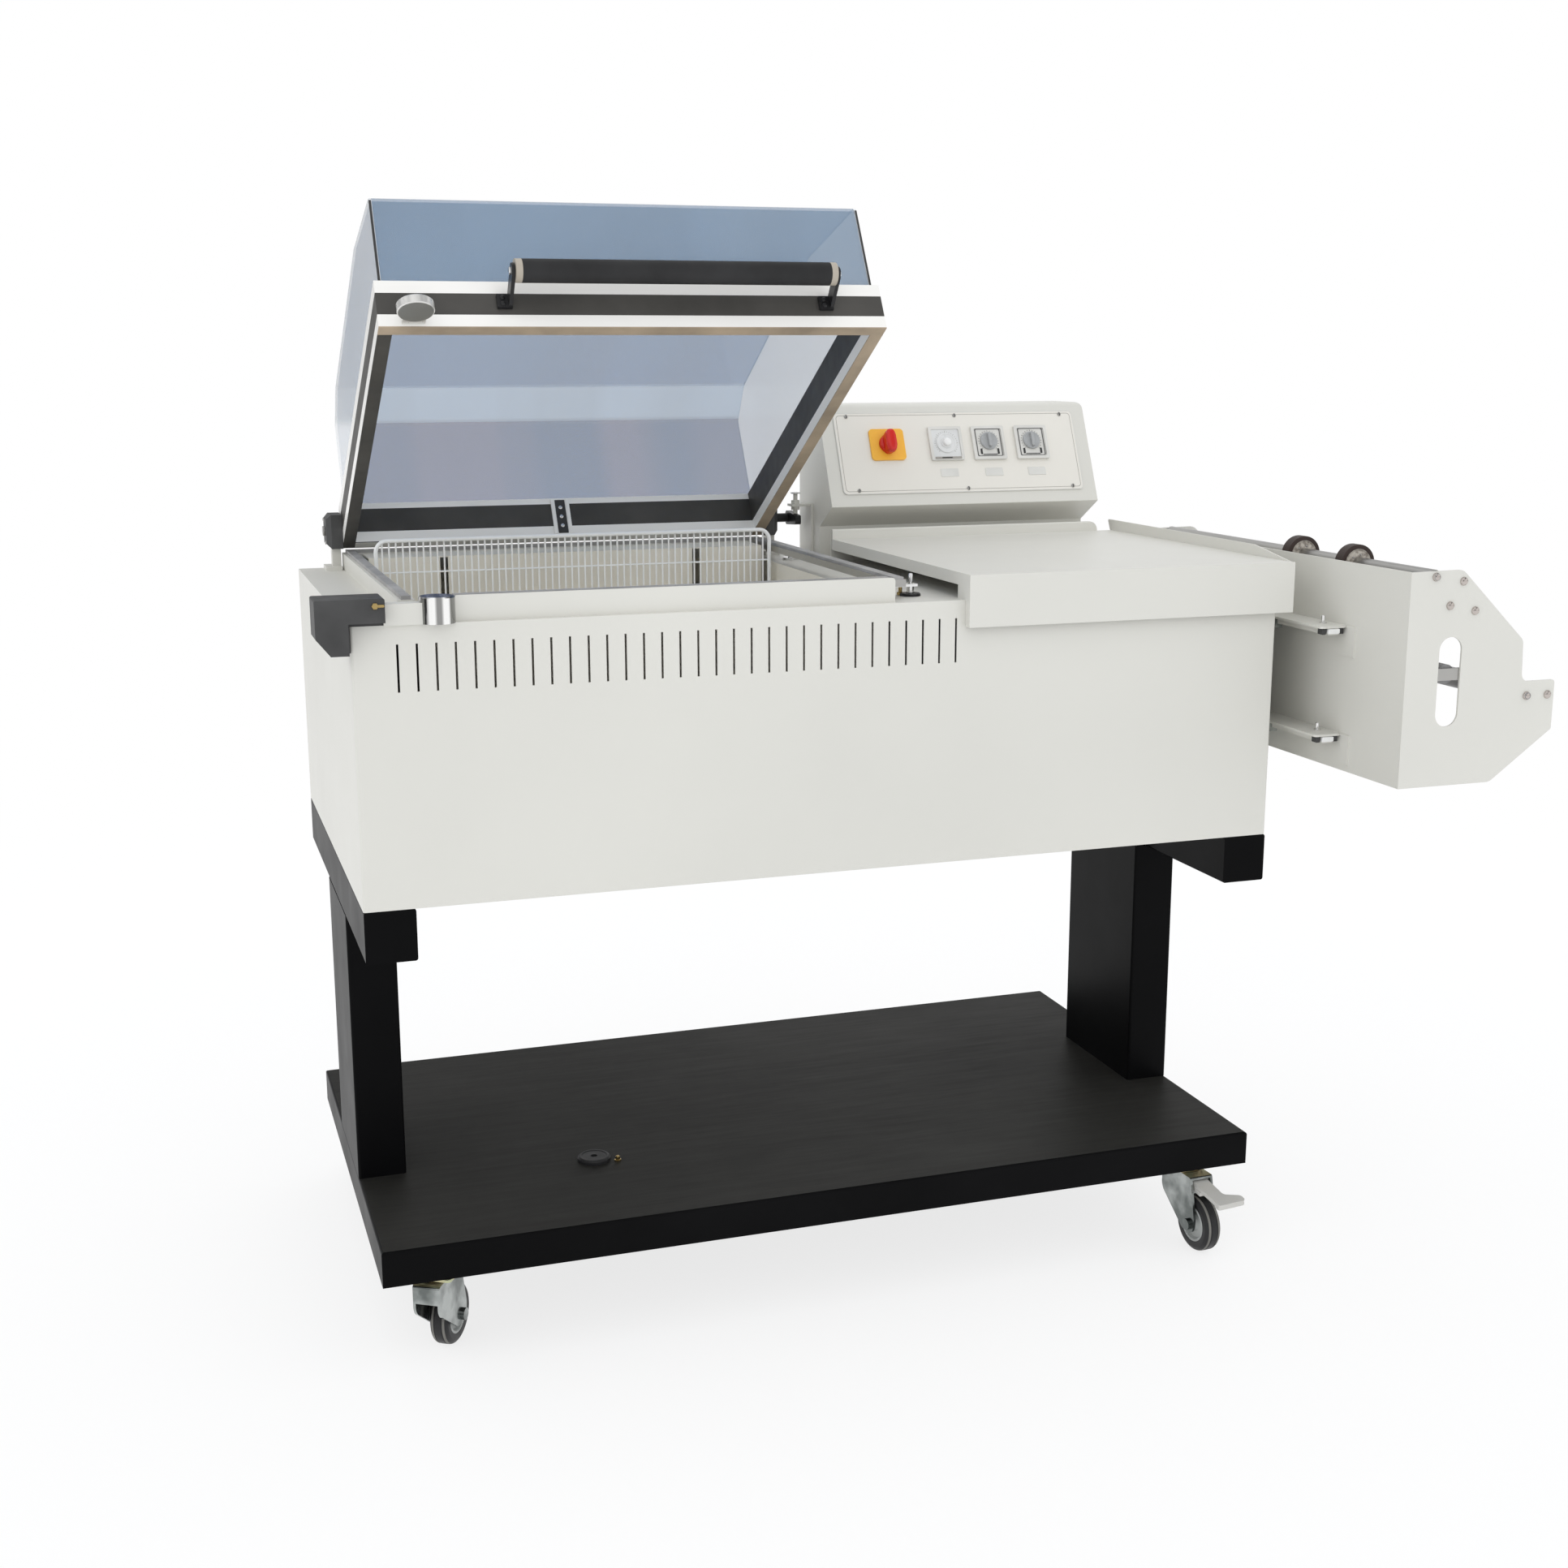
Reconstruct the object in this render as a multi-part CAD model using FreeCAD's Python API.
import FreeCAD, Part
import math
import os

V = FreeCAD.Vector

# Shrink wrapping machine, chamber type: an L of two sealing jaws and a hot-air chamber under one hinged lid.
# Working frame: x from the cabinet's left side, y from its front face to the back, z upwards, in mm.
# The finished pieces are moved so that the origin lies on the floor under the middle of the whole machine.

# General clearances and stock
run_gap = 0.05          # radial clearance of a shaft in its bore
body_gap = 0.3          # smallest gap between pieces that move past each other
sheet = 1.5             # cabinet sheet
bend_r = 3.0            # outside radius of a sheet bend

# Cabinet
cabinet_length = 1078.0
cabinet_depth = 583.0
cabinet_bottom = 534.0
cabinet_height = 301.0
deck_z = cabinet_bottom + cabinet_height
louvre_pitch = 20.0
louvre_count = 32
louvre_width = 2.4
louvre_height = 50.0
louvre_first = 47.0
louvre_drop = 45.0      # deck to the middle of the slots
back_vent_count = 12
back_vent_length = 90.0
back_vent_height = 4.0
back_vent_pitch = 12.0
back_vent_rise = 60.0   # cabinet's underside to the lowest vent
back_vent_left = cabinet_length - 358.0

# Stand
rail_width = 55.0
rail_height = 57.0
rail_wall = 3.0
post_depth = 185.0
post_width = 56.0
post_front = 196.0
post_wall = 3.0
tray_height = 41.0
tray_top = 155.0
tray_left = 0.0
tray_right = cabinet_length - 11.0
tray_front = -12.0
tray_back = cabinet_depth - 4.0
tray_wall = 3.0
crossbar_width = 64.0
crossbar_inset = 30.0
plug_r = 20.0
plug_height = 5.0
plug_x = 276.0
plug_y = 165.0

# Casters
caster_height = 107.0   # floor to the tray's underside
wheel_r = 35.0
wheel_width = 22.0
hub_r = 22.5
groove_depth = 3.0
groove_width = 4.0
axle_r = 4.0
caster_trail = 33.0
caster_inset_x = 62.5
caster_inset_y = 37.0
caster_plate = 60.0
caster_plate_t = 3.0
race_r = 22.0
race_height = 8.0
fork_t = 3.0
fork_gap = 2.0          # hub to fork cheek
fork_nose = 28.0        # kingpin to the fork's rounded leading edge
fork_drop = 34.0
kingpin_r = 6.0
caster_turn = {"front_left": 58.0, "front_right": -86.0, "rear_left": 112.0, "rear_right": -58.0}
pedal_reach = 87.0      # kingpin to the pedal's edge
pedal_pivot = 25.0
pedal_pin_r = 3.0
pedal_t = 5.0
pedal_tip_width = 42.0
pedal_tilt = 10.0

# Chamber, rim and jaws
chamber_left = 76.0
chamber_right = cabinet_length - 475.0
chamber_front = 48.0
chamber_back = cabinet_depth - 41.0
motor_room = 106.0      # cabinet's underside to the liner's
chamber_bottom = cabinet_bottom + motor_room
rim_width = 18.0
rim_start = 6.0         # lid's front edge to the rim's front end
gasket_t = 4.0
gasket_inset = 4.0
lip_y = 9.0
lip_t = 2.0
lip_foot = 14.0
lip_left = chamber_left + 32.0
lip_right = chamber_right - 6.0
lip_height = 27.0
jaw_width = 18.0
jaw_t = 8.0
jaw_pad_t = 3.0
jaw_post_r = 4.0
jaw_foot_r = 11.0
jaw_foot_t = 3.0
jaw_left = lip_left + 4.0
jaw_pad_inset = 3.0
jaw_post_inset = 30.0
jaw_back_gap = 4.0      # right jaw to the back rim
jaw_ear = 17.0          # right jaw to its posts
guard_y = chamber_back - 97.0
guard_left = chamber_left + 4.0
guard_top = deck_z + 47.0
guard_bottom = deck_z - 135.0
guard_rod_r = 2.5
guard_wire_r = 1.1
guard_pitch = 8.5
guard_corner_r = 14.0
shelf_z = deck_z - 75.0
shelf_pitch = 24.0
shelf_rim_r = 3.0
shelf_bar_r = 1.5
shelf_ledge = 12.0
duct_y = chamber_back - 64.0
duct_top = deck_z + 19.0
duct_bottom = deck_z - 135.0
duct_gap = 10.0
duct_gap_left = chamber_left + 95.0
duct_gap_right = chamber_right - 102.0

# Heater, fan
heater_r = 4.0
heater_rise = 30.0
heater_bend_r = 15.0
heater_row_gap = 46.0
heater_low = duct_bottom + 26.0
heater_tail = 14.0      # heater ends outside the liner
heater_end_gap = 20.0   # liner's left wall to the hairpin's bend
fan_x = (chamber_left + chamber_right) / 2 - 3.5
fan_y = chamber_front + 202.0
fan_r = 85.0
fan_height = 34.0
fan_hub_r = 16.0
fan_blade_count = 12
fan_shaft_r = 5.0
fan_shaft_gap = 3.0     # shaft to the hole in the liner
fan_shaft_in = 30.0     # shaft inside the motor
fan_lift = 8.0          # liner floor to the impeller's disc
fan_disc_t = 2.0
fan_blade_t = 2.0
fan_blade_run = 44.0    # length of a blade along its chord
fan_blade_turn = 28.0   # degrees of a blade's chord from the radius
motor_r = 42.0
motor_height = 70.0
transformer_length = 100.0
transformer_depth = 80.0
transformer_height = 90.0
transformer_x = cabinet_length - 388.0
transformer_y = cabinet_depth - 283.0

# Lid: measured closed, then turned up about the hinge line
lid_open = 30.3         # degrees of opening at rest
hinge_y = cabinet_depth - 21.0
hinge_z = deck_z + 49.0
lid_left = chamber_left - 22.0
lid_right = chamber_right + 13.0
lid_front = chamber_front - 18.0
lid_back = chamber_back + 23.0
seal_z = deck_z + 26.6  # underside of the lid frame when shut
bar_width = 15.0
bar_height = 54.0
band_low = 14.0         # black band on the bar, bottom and top edge
band_high = 39.5
band_depth = 2.0
band_lip = 8.0          # bare strip above the rear bar's inner band
bar_wall = 3.5
bar_skin = 3.0
guard_right = lid_right - bar_width - 7.0
tape_t = 1.2
hood_inset = 6.0
hood_t = 3.0
hood_front_rise = 105.0
hood_top_rise = 144.0
hood_slope_run = 158.0
hood_back_rise = 116.0
hood_back_run = 50.0
handle_left = lid_left + 138.0
handle_right = lid_right - 60.0
handle_out = 34.0       # grip axis in front of the lid
handle_up = 46.0        # grip axis above the frame's underside
grip_r = 12.5
grip_rod_r = 6.0
collar_r = 12.5
collar_w = 7.0
strap_t = 4.0
strap_w = 16.0
strap_pad = 12.0        # foot of a strap beside its arm
strap_rise = 2.0        # strap foot above the band's middle
disc_r = 19.5
disc_t = 10.0
disc_x = lid_left + 36.0
disc_out = 25.0
disc_up = 1.5
disc_tongue = 24.0
hinge_pin_r = 6.0
block_size = 43.0
block_width = 20.0
block_edge = 6.0        # chamfer on a hinge block's outer side
bracket_depth = 16.0
shoe_depth = 38.0
shoe_t = 5.0
stop_in = 40.0          # lid side to the stop arm
stop_w = 8.0
stop_reach = 34.0       # hinge line to the stop arm's tip
stop_tail = 10.0
stop_stud_r = 3.0
stop_stud_back = 22.0   # hinge line to the stud
stop_plate_t = 3.0
stop_tab_rise = 20.0
stop_nut_r = 6.0
stop_nut_t = 5.0

# Corner block and holding magnet
block_left = -36.0
block_right = 34.0
block_front = -20.0
block_back = 26.0
block_top = deck_z + 30.0
block_low = deck_z - 27.0
block_wrap = 3.0        # cabinet's corner to the block's front part
block_over = 5.0        # deck to the front part's underside
block_chamfer = 18.0
magnet_r = 16.5
arm_top = deck_z + 22.0
arm_depth = 18.0
magnet_groove = 1.5

# Loading table
table_left = lid_right + 62.0
table_right = cabinet_length + 15.0
table_front = -12.0
table_back = cabinet_depth - 141.0
table_top = deck_z + 29.0
table_t = 2.0
skirt_drop = 59.0
table_hem = 13.0
table_flange = 14.0
flange_ramp = 90.0
flange_back = table_back + 15.0
table_return = 34.0
hem_right = table_right - 27.0
hem_width = 5.0

# Console
console_left = lid_right + 65.0
console_right = cabinet_length - 7.0
console_low_y = cabinet_depth - 83.0
console_nose_y = cabinet_depth - 133.0
console_nose_z = deck_z + 70.0
console_under_z = deck_z + 41.0
console_top_y = cabinet_depth - 73.0
console_top_z = deck_z + 202.0
console_back_y = cabinet_depth
console_t = 1.5
console_top_r = 8.0
console_side_r = 9.0    # top corners seen from the front
panel_t = 1.5
panel_left = console_left + 19.0
panel_right = console_right - 19.0
panel_low = 17.0
panel_high = 131.0
instrument = 48.0
instrument_t = 4.0
instrument_up = 85.5
switch_plate_w = 49.0
switch_plate_h = 44.0
switch_plate_r = 5.0
switch_plate_t = 3.0
switch_x = console_left + 90.0
temp_x = switch_x + 85.0
timer_left_x = temp_x + 63.0
timer_right_x = timer_left_x + 64.0
timer_rise = 2.0        # timer spindles above the controller's
instrument_rim = 4.0
instrument_recess = 1.5
switch_knob_r = 14.5
switch_knob_t = 18.0
dial_r = 12.0
dial_t = 9.0
spindle_r = 3.0
spindle_length = 7.0

# Film unit
film_left = cabinet_length + 69.5
film_front = -160.0
film_back = 440.0
film_top = deck_z + 30.0
film_bottom = film_top - 247.0
film_t = 2.5
film_top_run = 68.0
film_shoulder_x = film_left + 156.5
film_shoulder_z = film_top - 83.0
film_neck_x = film_shoulder_x + 2.0
film_lobe_z = film_top - 131.0
film_right = film_left + 204.5
film_lobe_low = film_lobe_z - 58.0
film_foot_x = film_left + 123.5
film_lip = 40.0         # bottom flange of the folded frame
slot_x = film_left + 58.5
slot_low = film_top - 178.0
slot_high = film_top - 75.0
slot_w = 30.0
roller_r = 11.0
roller_gap = 1.0        # roller end to its plate
inner_roller_z = film_top - 118.0
outer_roller_x = film_right - 38.0
outer_roller_z = film_lobe_z - 17.0
perf_x = film_left + 32.5
perf_z = film_top - 6.0
perf_dish = 3.0
perf_rim = 6.0
perf_boss = 5.0
perf_shaft_r = 8.0
perf_wheel_r = 22.5
perf_wheel_t = 15.0
perf_wheel_y = (-10.0, 105.0)
tie_r = 6.0
tie_places = ((film_left + 69.5, film_top - 12.0), (film_left + 53.5, film_top - 39.0),
              (film_left + 87.5, film_top - 46.0), (film_right - 9.0, film_lobe_z - 17.0))
journal_r = 4.0
roller_strap_t = 3.0
roller_strap_side = 8.0 # strap beside the slot
roller_strap_edge = 3.0
pin_end = 3.0           # journal outside its plate
bolt_r = 6.0
bolt_t = 4.0

# Slides that carry the film unit on the cabinet's right side
slide_levels = (film_top - 74.0, film_top - 203.0)   # top of each carrier plate
slide_plate_t = 2.5
slide_w = 32.0
slide_h = 10.0
slide_wall = 2.0
slide_side_gap = 1.5            # fixed rail to the moving plate's outer side
runner_w = 14.0
slide_shelf = 16.0
slide_shelf_t = 3.0
slide_flange = 30.0
slide_inset = 2.5               # slide to the film unit's side plate
slide_front = -45.0
slide_back = 330.0
slide_fixed_front = 65.0
slide_fixed_back = 390.0
carrier_drop = 36.0
carrier_ahead = 16.0


def box(x0, x1, y0, y1, z0, z1):
    """A block between two corners."""
    return Part.makeBox(x1 - x0, y1 - y0, z1 - z0, V(x0, y0, z0))


def rod(start, end, radius):
    """A round bar from start to end."""
    a, b = V(*start), V(*end)
    return Part.makeCylinder(radius, (b - a).Length, a, b - a)


def outline(points, radii, place):
    """A closed wire through 2-D points with rounded corners, put into space by place(a, b)."""
    count = len(points)
    edges = []
    last = None
    first = None
    for i in range(count):
        p = V(points[i][0], points[i][1], 0)
        before = V(points[i - 1][0], points[i - 1][1], 0) - p
        after = V(points[(i + 1) % count][0], points[(i + 1) % count][1], 0) - p
        before.normalize()
        after.normalize()
        half = before.getAngle(after) / 2
        radius = radii[i]
        if radius > 0:
            back = radius / math.tan(half)
            enter, leave = p + before * back, p + after * back
            middle_dir = before + after
            middle_dir.normalize()
            middle = p + middle_dir * (radius / math.sin(half) - radius)
        else:
            enter = leave = p
        enter3 = place(enter.x, enter.y)
        leave3 = place(leave.x, leave.y)
        if last is not None:
            edges.append(Part.LineSegment(last, enter3).toShape())
        if radius > 0:
            edges.append(Part.Arc(enter3, place(middle.x, middle.y), leave3).toShape())
        if first is None:
            first = enter3
        last = leave3
    edges.append(Part.LineSegment(last, first).toShape())
    return Part.Wire(edges)


def prism(points, radii, axis, start, end):
    """A profile pushed along one axis. Profiles are (y, z) for x, (x, z) for y and (x, y) for z."""
    places = {"x": lambda a, b: V(start, a, b), "y": lambda a, b: V(a, start, b),
              "z": lambda a, b: V(a, b, start)}
    push = {"x": V(end - start, 0, 0), "y": V(0, end - start, 0), "z": V(0, 0, end - start)}
    if not isinstance(radii, (list, tuple)):
        radii = [radii] * len(points)
    return Part.Face(outline(points, radii, places[axis])).extrude(push[axis])


def rectangle(a0, a1, b0, b1):
    return [(a0, b0), (a1, b0), (a1, b1), (a0, b1)]


def swept_rod(points, radii, radius):
    """A round wire bent along straight runs and tangent arcs, closed or open by its point list."""
    runs = []
    last = V(*points[0])
    for i in range(1, len(points) - 1):
        p = V(*points[i])
        before = V(*points[i - 1]) - p
        after = V(*points[i + 1]) - p
        before.normalize()
        after.normalize()
        half = before.getAngle(after) / 2
        back = radii / math.tan(half)
        enter, leave = p + before * back, p + after * back
        bisector = before + after
        bisector.normalize()
        middle = p + bisector * (radii / math.sin(half) - radii)
        if (enter - last).Length > 0.01:
            runs.append(Part.LineSegment(last, enter).toShape())
        runs.append(Part.Arc(enter, middle, leave).toShape())
        last = leave
    end = V(*points[-1])
    if (end - last).Length > 0.01:
        runs.append(Part.LineSegment(last, end).toShape())
    path = Part.Wire(runs)
    direction = V(*points[1]) - V(*points[0])
    section = Part.Wire([Part.makeCircle(radius, V(*points[0]), direction)])
    return path.makePipeShell([section], True, False)


def fuse(shapes):
    first = shapes[0]
    return first.fuse(shapes[1:]).removeSplitter() if len(shapes) > 1 else first


nodes = {}


def add(name, *shapes):
    nodes.setdefault(name, []).extend(shapes)


def stand():
    """Tray with its welded cross bars, two posts, two rails and the rubber plug in the tray."""
    low = tray_top - tray_height
    pan = box(tray_left, tray_right, tray_front, tray_back, low, tray_top)
    pan = pan.makeFillet(bend_r, [e for e in pan.Edges if e.BoundBox.ZMin > tray_top - 0.01])
    pan = pan.cut(box(tray_left + tray_wall, tray_right - tray_wall, tray_front + tray_wall,
                      tray_back - tray_wall, low, tray_top - tray_wall))
    bars = []
    for left in (tray_left + crossbar_inset, tray_right - crossbar_inset - crossbar_width):
        outer = box(left, left + crossbar_width, tray_front + tray_wall, tray_back - tray_wall,
                    low, tray_top - tray_wall)
        inner = box(left + tray_wall, left + crossbar_width - tray_wall, tray_front + tray_wall,
                    tray_back - tray_wall, low + tray_wall, tray_top - 2 * tray_wall)
        bars.append(outer.cut(inner))
    plug_hole = rod((plug_x, plug_y, low), (plug_x, plug_y, tray_top), plug_r / 2)
    add("base_tray", pan.cut(plug_hole), *bars)

    cap = rod((plug_x, plug_y, tray_top), (plug_x, plug_y, tray_top + plug_height), plug_r)
    cap = cap.makeChamfer(1.5, [e for e in cap.Edges if e.BoundBox.ZMin > tray_top + plug_height - 0.01])
    stem = rod((plug_x, plug_y, tray_top - tray_wall), (plug_x, plug_y, tray_top), plug_r / 2 - run_gap)
    dimple = rod((plug_x, plug_y, tray_top + plug_height - 2), (plug_x, plug_y, tray_top + plug_height), 4)
    add("tray_plug", fuse([cap, stem]).cut(dimple))

    post_top = cabinet_bottom - rail_height
    for side, x0 in (("left", tray_left), ("right", tray_right - post_width)):
        outer = prism(rectangle(x0, x0 + post_width, post_front, post_front + post_depth), bend_r, "z",
                      tray_top, post_top)
        inner = box(x0 + post_wall, x0 + post_width - post_wall, post_front + post_wall,
                    post_front + post_depth - post_wall, tray_top, post_top)
        add("post_" + side, outer.cut(inner))
    for side, x0 in (("left", 0.0), ("right", cabinet_length - rail_width)):
        outer = prism(rectangle(x0, x0 + rail_width, post_top, cabinet_bottom), bend_r, "y", 0, cabinet_depth)
        inner = box(x0 + rail_wall, x0 + rail_width - rail_wall, rail_wall, cabinet_depth - rail_wall,
                    post_top + rail_wall, cabinet_bottom - rail_wall)
        vent = rod((x0 + rail_width / 2, cabinet_depth - 20, post_top), (x0 + rail_width / 2,
                   cabinet_depth - 20, post_top + rail_wall), 4)
        add("rail_" + side, outer.cut(inner).cut(vent))


def cabinet():
    """Wrap-round shell with louvres, deck, floor pan and vented rear cover."""
    wrap = prism([(0, cabinet_depth), (0, 0), (cabinet_length, 0), (cabinet_length, cabinet_depth)],
                 [0, bend_r, bend_r, 0], "z", cabinet_bottom, deck_z - sheet)
    hollow = prism([(sheet, cabinet_depth), (sheet, sheet), (cabinet_length - sheet, sheet),
                    (cabinet_length - sheet, cabinet_depth)],
                   [0, bend_r - sheet, bend_r - sheet, 0], "z", cabinet_bottom, deck_z - sheet)
    slots = []
    for i in range(louvre_count):
        x = louvre_first + i * louvre_pitch
        z = deck_z - louvre_drop
        slots.append(box(x - louvre_width / 2, x + louvre_width / 2, -1, sheet + 1,
                         z - louvre_height / 2, z + louvre_height / 2))
    add("cabinet_shell", wrap.cut(hollow).cut(slots))

    deck = prism(rectangle(0, cabinet_length, 0, cabinet_depth), [bend_r] * 4, "z", deck_z - sheet, deck_z)
    mouth = box(chamber_left, chamber_right, chamber_front, chamber_back, deck_z - sheet, deck_z)
    add("cabinet_deck", deck.cut(mouth))

    floor = box(sheet, cabinet_length - sheet, sheet, cabinet_depth - sheet, cabinet_bottom,
                cabinet_bottom + sheet)
    rear = box(sheet, cabinet_length - sheet, cabinet_depth - sheet, cabinet_depth, cabinet_bottom,
               deck_z - sheet)
    vents = []
    for i in range(back_vent_count):
        z = cabinet_bottom + back_vent_rise + i * back_vent_pitch
        vents.append(box(back_vent_left, back_vent_left + back_vent_length, cabinet_depth - sheet - 1,
                         cabinet_depth + 1, z, z + back_vent_height))
    add("cabinet_panels", floor, rear.cut(vents))


def chamber():
    """Liner with its duct wall, raised rim, front lip, gasket, jaws, guard and grid."""
    floor_top = chamber_bottom + sheet
    floor = box(chamber_left, chamber_right, chamber_front, chamber_back, chamber_bottom, floor_top)
    left_wall = box(chamber_left, chamber_left + sheet, chamber_front, chamber_back, floor_top, deck_z)
    right_wall = box(chamber_right - sheet, chamber_right, chamber_front, chamber_back, floor_top, deck_z)
    end_walls = [box(chamber_left + sheet, chamber_right - sheet, y, y + sheet, floor_top, deck_z)
                 for y in (chamber_front, chamber_back - sheet)]
    shaft_hole = rod((fan_x, fan_y, chamber_bottom), (fan_x, fan_y, chamber_bottom + sheet),
                     fan_shaft_r + fan_shaft_gap)
    terminals = []
    for row in (0, 1):
        for leg in (0, 1):
            z = heater_low + row * heater_row_gap + leg * heater_rise
            y = (duct_y + chamber_back) / 2
            terminals.append(rod((chamber_right - sheet, y, z), (chamber_right, y, z), heater_r + body_gap))
    spans = ((chamber_left + sheet, duct_gap_left - duct_gap / 2),
             (duct_gap_left + duct_gap / 2, duct_gap_right - duct_gap / 2),
             (duct_gap_right + duct_gap / 2, chamber_right - sheet - duct_gap))
    baffles = [box(a, b, duct_y, duct_y + sheet, floor_top, duct_top) for a, b in spans]
    cover = box(chamber_left + sheet, chamber_right - sheet - duct_gap, duct_y, chamber_back - sheet,
                duct_top, duct_top + sheet)
    add("chamber_liner", floor.cut(shaft_hole), left_wall, right_wall.cut(terminals), *end_walls, *baffles,
        cover)

    rim_top = seal_z - tape_t - 2 * body_gap - gasket_t
    rim_front = lid_front + rim_start
    left = box(lid_left, lid_left + rim_width, rim_front, lid_back, deck_z, rim_top)
    back = box(lid_left, lid_right, lid_back - rim_width, lid_back, deck_z, rim_top)
    rim = fuse([left, back])
    hollow_left = box(lid_left + sheet, lid_left + rim_width - sheet, rim_front + sheet,
                      lid_back - sheet, deck_z, rim_top - sheet)
    hollow_back = box(lid_left + sheet, lid_right - sheet, lid_back - rim_width + sheet,
                      lid_back - sheet, deck_z, rim_top - sheet)
    lip = prism([(lip_left, deck_z), (lip_right, deck_z), (lip_right, deck_z + lip_height),
                 (lip_left, deck_z + lip_height)], [0, 0, 4, 4], "y", lip_y, lip_y + lip_t)
    turned = box(lip_left, lip_right, lip_y, lip_y + lip_foot, deck_z, deck_z + lip_t)
    add("chamber_rim", rim.cut([hollow_left, hollow_back]), fuse([lip, turned]))

    inset = gasket_inset
    strip_left = box(lid_left + inset, lid_left + rim_width - inset, rim_front + inset / 2,
                     lid_back - inset, rim_top, rim_top + gasket_t)
    strip_back = box(lid_left + inset, lid_right - inset, lid_back - rim_width + inset, lid_back - inset,
                     rim_top, rim_top + gasket_t)
    add("chamber_gasket", fuse([strip_left, strip_back]))

    jaw_top = seal_z - tape_t - body_gap
    bar_top = jaw_top - jaw_pad_t
    bar_low = bar_top - jaw_t
    front_y = lid_front + (bar_width - jaw_width) / 2
    right_x = lid_right - bar_width + (bar_width - jaw_width) / 2
    jaw_right_back = lid_back - rim_width - jaw_back_gap
    pad_inset = jaw_pad_inset
    front_bar = box(jaw_left, right_x - 1, front_y, front_y + jaw_width, bar_low, bar_top)
    right_bar = box(right_x, right_x + jaw_width, front_y, jaw_right_back, bar_low, bar_top)
    front_pad = box(jaw_left, right_x - 1, front_y + pad_inset, front_y + jaw_width - pad_inset, bar_top,
                    jaw_top)
    right_pad = box(right_x + pad_inset, right_x + jaw_width - pad_inset, front_y, jaw_right_back, bar_top,
                    jaw_top)
    add("seal_jaws", front_bar, right_bar)
    add("chamber_gasket", front_pad, right_pad)
    ear_x = right_x + jaw_width + jaw_ear
    posts = []
    for x, y, ear in ((jaw_left + jaw_post_inset, front_y + jaw_width / 2, False),
                      (right_x - 2 * jaw_post_inset, front_y + jaw_width / 2, False),
                      (ear_x, front_y + jaw_width + jaw_foot_r, True),
                      (ear_x, jaw_right_back - 2 * jaw_post_inset, True)):
        stem = rod((x, y, deck_z + jaw_foot_t), (x, y, bar_low), jaw_post_r)
        foot = rod((x, y, deck_z), (x, y, deck_z + jaw_foot_t), jaw_foot_r if ear else jaw_foot_r - 3)
        pieces = [stem, foot]
        if ear:
            pieces.append(box(right_x + 2, x + 6, y - 7, y + 7, bar_low - 3, bar_low))
        posts.append(fuse(pieces))
    add("jaw_posts", *posts)


def grids():
    """Upright wire guard in front of the duct and the flat product grid below it."""
    z0, z1 = guard_bottom, guard_top - guard_rod_r
    x0, x1 = guard_left + guard_rod_r, guard_right - guard_rod_r
    frame = swept_rod([(x0, guard_y, z0), (x0, guard_y, z1), (x1, guard_y, z1), (x1, guard_y, z0)],
                      guard_corner_r, guard_rod_r)
    wires = []
    count = int((x1 - x0) / guard_pitch)
    first = (x0 + x1) / 2 - (count - 1) * guard_pitch / 2
    behind = guard_y + guard_rod_r
    for i in range(count):
        x = first + i * guard_pitch
        edge = min(x - x0, x1 - x)
        top = z1
        if edge < guard_corner_r:
            top = z1 - guard_corner_r + math.sqrt(guard_corner_r ** 2 - (guard_corner_r - edge) ** 2)
        wires.append(rod((x, behind, z0 + guard_rod_r), (x, behind, top), guard_wire_r))
    cross = [rod((x0, behind, z), (x1, behind, z), guard_wire_r)
             for z in (z0 + guard_rod_r, (2 * z0 + z1) / 3, (z0 + 2 * z1) / 3 + 20)]
    clips = []
    for z in (z0 + 20, z1 - 70):
        clips.append(rod((chamber_left + sheet, guard_y, z), (x0, guard_y, z), guard_rod_r * 0.8))
        clips.append(rod((x1, guard_y, z), (chamber_right - sheet, guard_y, z), guard_rod_r * 0.8))
    add("guard_grid", frame.fuse(wires + cross + clips))

    left, right = chamber_left + sheet + 1, chamber_right - sheet - 1
    front, back = chamber_front + sheet + 1, guard_y - 12
    r = shelf_rim_r
    ends = (left + r + 1, right - r - 1)
    long_rods = [rod((ends[0] - r, y, shelf_z), (ends[1] + r, y, shelf_z), r) for y in (front + r, back - r)]
    side_rods = [rod((x, front + r, shelf_z), (x, back - r, shelf_z), r).cut(long_rods) for x in ends]
    count = int((right - left - 20) / shelf_pitch)
    start = (left + right) / 2 - (count - 1) * shelf_pitch / 2
    bars = [rod((start + i * shelf_pitch, front + r, shelf_z), (start + i * shelf_pitch, back - r, shelf_z),
                shelf_bar_r).cut(long_rods) for i in range(count)]
    add("product_grid", *long_rods, *side_rods, *bars)
    ledge = sheet + shelf_ledge
    for x, way in ((chamber_left + sheet, 1), (chamber_right - sheet, -1)):
        low = shelf_z - shelf_rim_r - sheet
        tab = box(min(x, x + way * ledge), max(x, x + way * ledge), front, back, low, low + sheet)
        add("chamber_liner", tab)


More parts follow.
